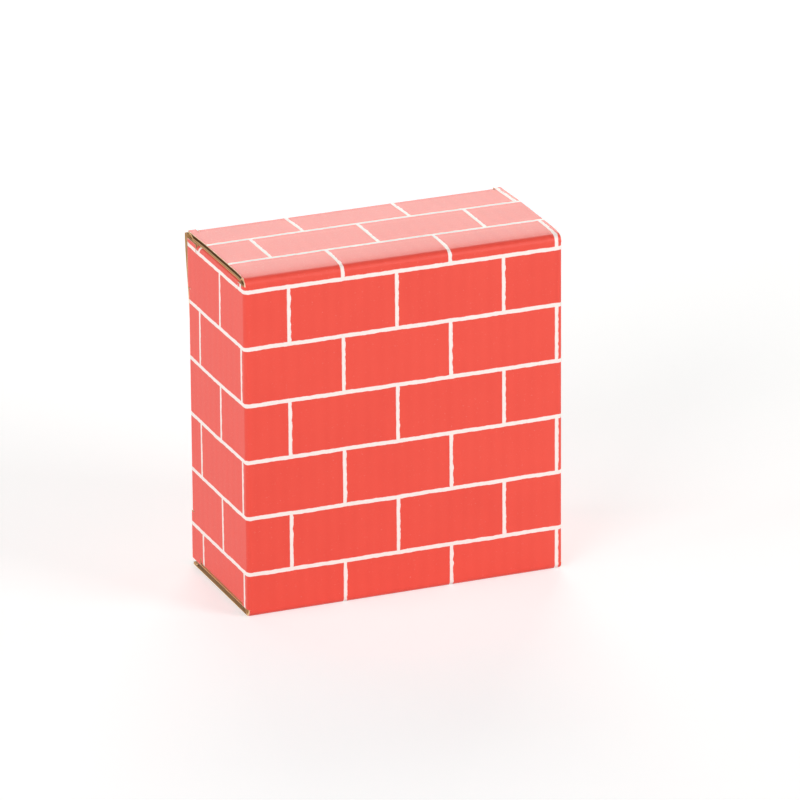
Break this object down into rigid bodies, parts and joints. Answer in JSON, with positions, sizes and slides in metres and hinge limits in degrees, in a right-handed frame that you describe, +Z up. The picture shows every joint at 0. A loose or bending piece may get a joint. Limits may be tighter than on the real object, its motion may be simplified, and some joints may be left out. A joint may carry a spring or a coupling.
{
  "type": "toy building block",
  "caption": "Large hollow toy building block: a tuck-end carton of corrugated board with a red brick print, folding lids, tuck flaps and dust flaps.",
  "frame": {"origin": "centre of the block's base, on the surface it stands on", "axes": "+X along the width to the right end, +Y from the front to the back, +Z up"},
  "size_m": [0.148, 0.072, 0.156],
  "materials": {
    "printed_liner": "satin",
    "fluting": "matte",
    "inner_liner": "matte",
    "crease": "satin",
    "glue": "matte"
  },
  "bodies": {
    "bottom_lid": {"bottom_lid_printed_liner": "printed_liner", "bottom_lid_fluting": "fluting", "bottom_lid_inner_liner": "inner_liner", "bottom_lid_crease": "crease", "bottom_tuck_crease": "crease"},
    "walls": {"front_printed_liner": "printed_liner", "front_fluting": "fluting", "front_inner_liner": "inner_liner", "back_printed_liner": "printed_liner", "back_fluting": "fluting", "back_inner_liner": "inner_liner", "left_end_printed_liner": "printed_liner", "left_end_fluting": "fluting", "left_end_inner_liner": "inner_liner", "right_end_printed_liner": "printed_liner", "right_end_fluting": "fluting", "right_end_inner_liner": "inner_liner", "glue_flap_printed_liner": "printed_liner", "glue_flap_fluting": "fluting", "glue_flap_inner_liner": "inner_liner", "glue_line": "glue", "front_left_crease": "crease", "front_right_crease": "crease", "back_right_crease": "crease", "glue_flap_crease": "crease", "top_lid_crease": "crease", "top_left_dust_crease": "crease", "top_right_dust_crease": "crease", "bottom_left_dust_crease": "crease", "bottom_right_dust_crease": "crease"},
    "top_lid": {"top_lid_printed_liner": "printed_liner", "top_lid_fluting": "fluting", "top_lid_inner_liner": "inner_liner", "top_tuck_crease": "crease"},
    "top_tuck": {"top_tuck_printed_liner": "printed_liner", "top_tuck_fluting": "fluting", "top_tuck_inner_liner": "inner_liner"},
    "top_left_dust": {"top_left_dust_printed_liner": "printed_liner", "top_left_dust_fluting": "fluting", "top_left_dust_inner_liner": "inner_liner"},
    "top_right_dust": {"top_right_dust_printed_liner": "printed_liner", "top_right_dust_fluting": "fluting", "top_right_dust_inner_liner": "inner_liner"},
    "bottom_tuck": {"bottom_tuck_printed_liner": "printed_liner", "bottom_tuck_fluting": "fluting", "bottom_tuck_inner_liner": "inner_liner"},
    "bottom_left_dust": {"bottom_left_dust_printed_liner": "printed_liner", "bottom_left_dust_fluting": "fluting", "bottom_left_dust_inner_liner": "inner_liner"},
    "bottom_right_dust": {"bottom_right_dust_printed_liner": "printed_liner", "bottom_right_dust_fluting": "fluting", "bottom_right_dust_inner_liner": "inner_liner"}
  },
  "joints": [
    {"name": "bottom_lid_fold", "type": "hinge", "parent": "bottom_lid", "child": "walls", "pos_m": [0, -0.034, 0.002], "axis": [1, 0, 0], "range_deg": [0, 90], "deforming": ["bottom_lid_crease"]},
    {"name": "top_lid_fold", "type": "hinge", "parent": "walls", "child": "top_lid", "pos_m": [0, -0.034, 0.154], "axis": [1, 0, 0], "range_deg": [0, 90], "deforming": ["top_lid_crease"]},
    {"name": "top_tuck_fold", "type": "hinge", "parent": "top_lid", "child": "top_tuck", "pos_m": [0, 0.0307, 0.154], "axis": [1, 0, 0], "range_deg": [0, 22.5], "deforming": ["top_tuck_crease"]},
    {"name": "bottom_tuck_fold", "type": "hinge", "parent": "bottom_lid", "child": "bottom_tuck", "pos_m": [0, 0.0307, 0.002], "axis": [-1, 0, 0], "range_deg": [0, 22.5], "deforming": ["bottom_tuck_crease"]},
    {"name": "top_left_dust_fold", "type": "hinge", "parent": "walls", "child": "top_left_dust", "pos_m": [-0.072, 0, 0.1507], "axis": [0, -1, 0], "range_deg": [0, 90], "deforming": ["top_left_dust_crease"]},
    {"name": "top_right_dust_fold", "type": "hinge", "parent": "walls", "child": "top_right_dust", "pos_m": [0.072, 0, 0.1507], "axis": [0, 1, 0], "range_deg": [0, 90], "deforming": ["top_right_dust_crease"]},
    {"name": "bottom_left_dust_fold", "type": "hinge", "parent": "walls", "child": "bottom_left_dust", "pos_m": [-0.072, 0, 0.0053], "axis": [0, 1, 0], "range_deg": [0, 90], "deforming": ["bottom_left_dust_crease"]},
    {"name": "bottom_right_dust_fold", "type": "hinge", "parent": "walls", "child": "bottom_right_dust", "pos_m": [0.072, 0, 0.0053], "axis": [0, -1, 0], "range_deg": [0, 90], "deforming": ["bottom_right_dust_crease"]}
  ],
  "couplings": [
    {"joint": "top_tuck_fold", "follows": "top_lid_fold", "ratio": 0.25},
    {"joint": "top_left_dust_fold", "follows": "top_lid_fold", "ratio": 1},
    {"joint": "top_right_dust_fold", "follows": "top_lid_fold", "ratio": 1},
    {"joint": "bottom_tuck_fold", "follows": "bottom_lid_fold", "ratio": 0.25},
    {"joint": "bottom_left_dust_fold", "follows": "bottom_lid_fold", "ratio": 1},
    {"joint": "bottom_right_dust_fold", "follows": "bottom_lid_fold", "ratio": 1}
  ]
}
